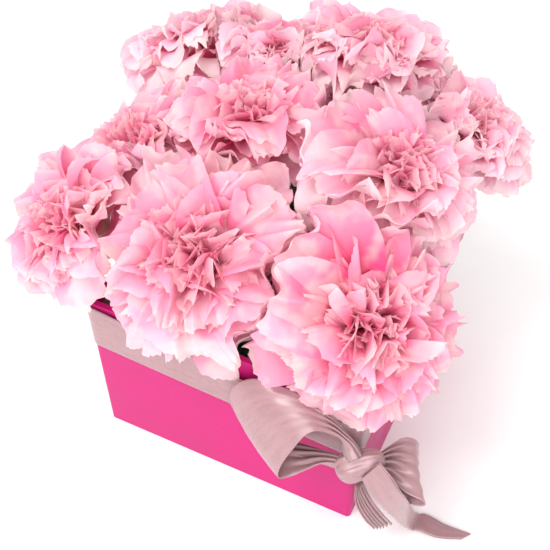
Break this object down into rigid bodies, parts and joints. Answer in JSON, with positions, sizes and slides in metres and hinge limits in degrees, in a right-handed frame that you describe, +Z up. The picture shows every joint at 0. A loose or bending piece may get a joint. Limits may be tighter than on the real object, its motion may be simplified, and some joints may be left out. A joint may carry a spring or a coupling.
{
  "type": "flower box",
  "caption": "Square paper-covered gift box tied with a satin ribbon bow at one corner, filled with carnations in floral foam in a lift-out liner.",
  "frame": {"origin": "centre of the underside of the box", "axes": "+Z up; the front wall faces -Y and the bow sits on the +X, -Y corner"},
  "size_m": [0.2261, 0.1915, 0.1778],
  "materials": {
    "greyboard": "matte",
    "pink_paper": "glossy laminated",
    "satin_ribbon": "satin",
    "clear_liner": "clear",
    "floral_foam": "porous",
    "petals": "soft petal",
    "calyx_green": "waxy",
    "stem_green": "waxy"
  },
  "bodies": {
    "box": {"base_cover": "pink_paper", "base_board": "greyboard", "wall_front": "greyboard", "wall_back": "greyboard", "wall_left": "greyboard", "wall_right": "greyboard", "paper_covering": "pink_paper", "paper_lining": "pink_paper", "ribbon_band": "satin_ribbon", "ribbon_knot": "satin_ribbon", "ribbon_loop_left": "satin_ribbon", "ribbon_loop_right": "satin_ribbon", "ribbon_tail_front": "satin_ribbon", "ribbon_tail_back": "satin_ribbon"},
    "insert": {"liner_tray": "clear_liner", "foam_block": "floral_foam"},
    "flower_front_left": {"bloom_front_left": "petals", "calyx_front_left": "calyx_green", "stem_front_left": "stem_green"},
    "flower_front_middle": {"bloom_front_middle": "petals", "calyx_front_middle": "calyx_green", "stem_front_middle": "stem_green"},
    "flower_front_right": {"bloom_front_right": "petals", "calyx_front_right": "calyx_green", "stem_front_right": "stem_green"},
    "flower_side_left": {"bloom_side_left": "petals", "calyx_side_left": "calyx_green", "stem_side_left": "stem_green"},
    "flower_centre": {"bloom_centre": "petals", "calyx_centre": "calyx_green", "stem_centre": "stem_green"},
    "flower_side_right": {"bloom_side_right": "petals", "calyx_side_right": "calyx_green", "stem_side_right": "stem_green"},
    "flower_back_left": {"bloom_back_left": "petals", "calyx_back_left": "calyx_green", "stem_back_left": "stem_green"},
    "flower_back_middle_left": {"bloom_back_middle_left": "petals", "calyx_back_middle_left": "calyx_green", "stem_back_middle_left": "stem_green"},
    "flower_back_middle_right": {"bloom_back_middle_right": "petals", "calyx_back_middle_right": "calyx_green", "stem_back_middle_right": "stem_green"},
    "flower_back_right": {"bloom_back_right": "petals", "calyx_back_right": "calyx_green", "stem_back_right": "stem_green"},
    "flower_back_low": {"bloom_back_low": "petals", "calyx_back_low": "calyx_green", "stem_back_low": "stem_green"}
  },
  "joints": [
    {"name": "insert_lift", "type": "slide", "parent": "box", "child": "insert", "axis": [0, 0, 1], "range_m": [0, 0.09]},
    {"name": "pull_front_left", "type": "slide", "parent": "insert", "child": "flower_front_left", "axis": [-0.6334, -0.3399, 0.6952], "range_m": [0, 0.0375]},
    {"name": "pull_front_middle", "type": "slide", "parent": "insert", "child": "flower_front_middle", "axis": [-0.2057, -0.4115, 0.8879], "range_m": [0, 0.0251]},
    {"name": "pull_front_right", "type": "slide", "parent": "insert", "child": "flower_front_right", "axis": [0.5515, -0.381, 0.742], "range_m": [0, 0.0339]},
    {"name": "pull_side_left", "type": "slide", "parent": "insert", "child": "flower_side_left", "axis": [-0.6432, 0.0348, 0.7649], "range_m": [0, 0.0323]},
    {"name": "pull_centre", "type": "slide", "parent": "insert", "child": "flower_centre", "axis": [-0.2152, 0.155, 0.9642], "range_m": [0, 0.0215]},
    {"name": "pull_side_right", "type": "slide", "parent": "insert", "child": "flower_side_right", "axis": [0.3861, 0.1544, 0.9094], "range_m": [0, 0.024]},
    {"name": "pull_back_left", "type": "slide", "parent": "insert", "child": "flower_back_left", "axis": [-0.5101, 0.4968, 0.7022], "range_m": [0, 0.037]},
    {"name": "pull_back_middle_left", "type": "slide", "parent": "insert", "child": "flower_back_middle_left", "axis": [-0.223, 0.5036, 0.8346], "range_m": [0, 0.0279]},
    {"name": "pull_back_middle_right", "type": "slide", "parent": "insert", "child": "flower_back_middle_right", "axis": [0.0825, 0.4124, 0.9073], "range_m": [0, 0.0241]},
    {"name": "pull_back_right", "type": "slide", "parent": "insert", "child": "flower_back_right", "axis": [0.4552, 0.4699, 0.7563], "range_m": [0, 0.0329]},
    {"name": "pull_back_low", "type": "slide", "parent": "insert", "child": "flower_back_low", "axis": [0.0694, 0.642, 0.7635], "range_m": [0, 0.0324]}
  ]
}
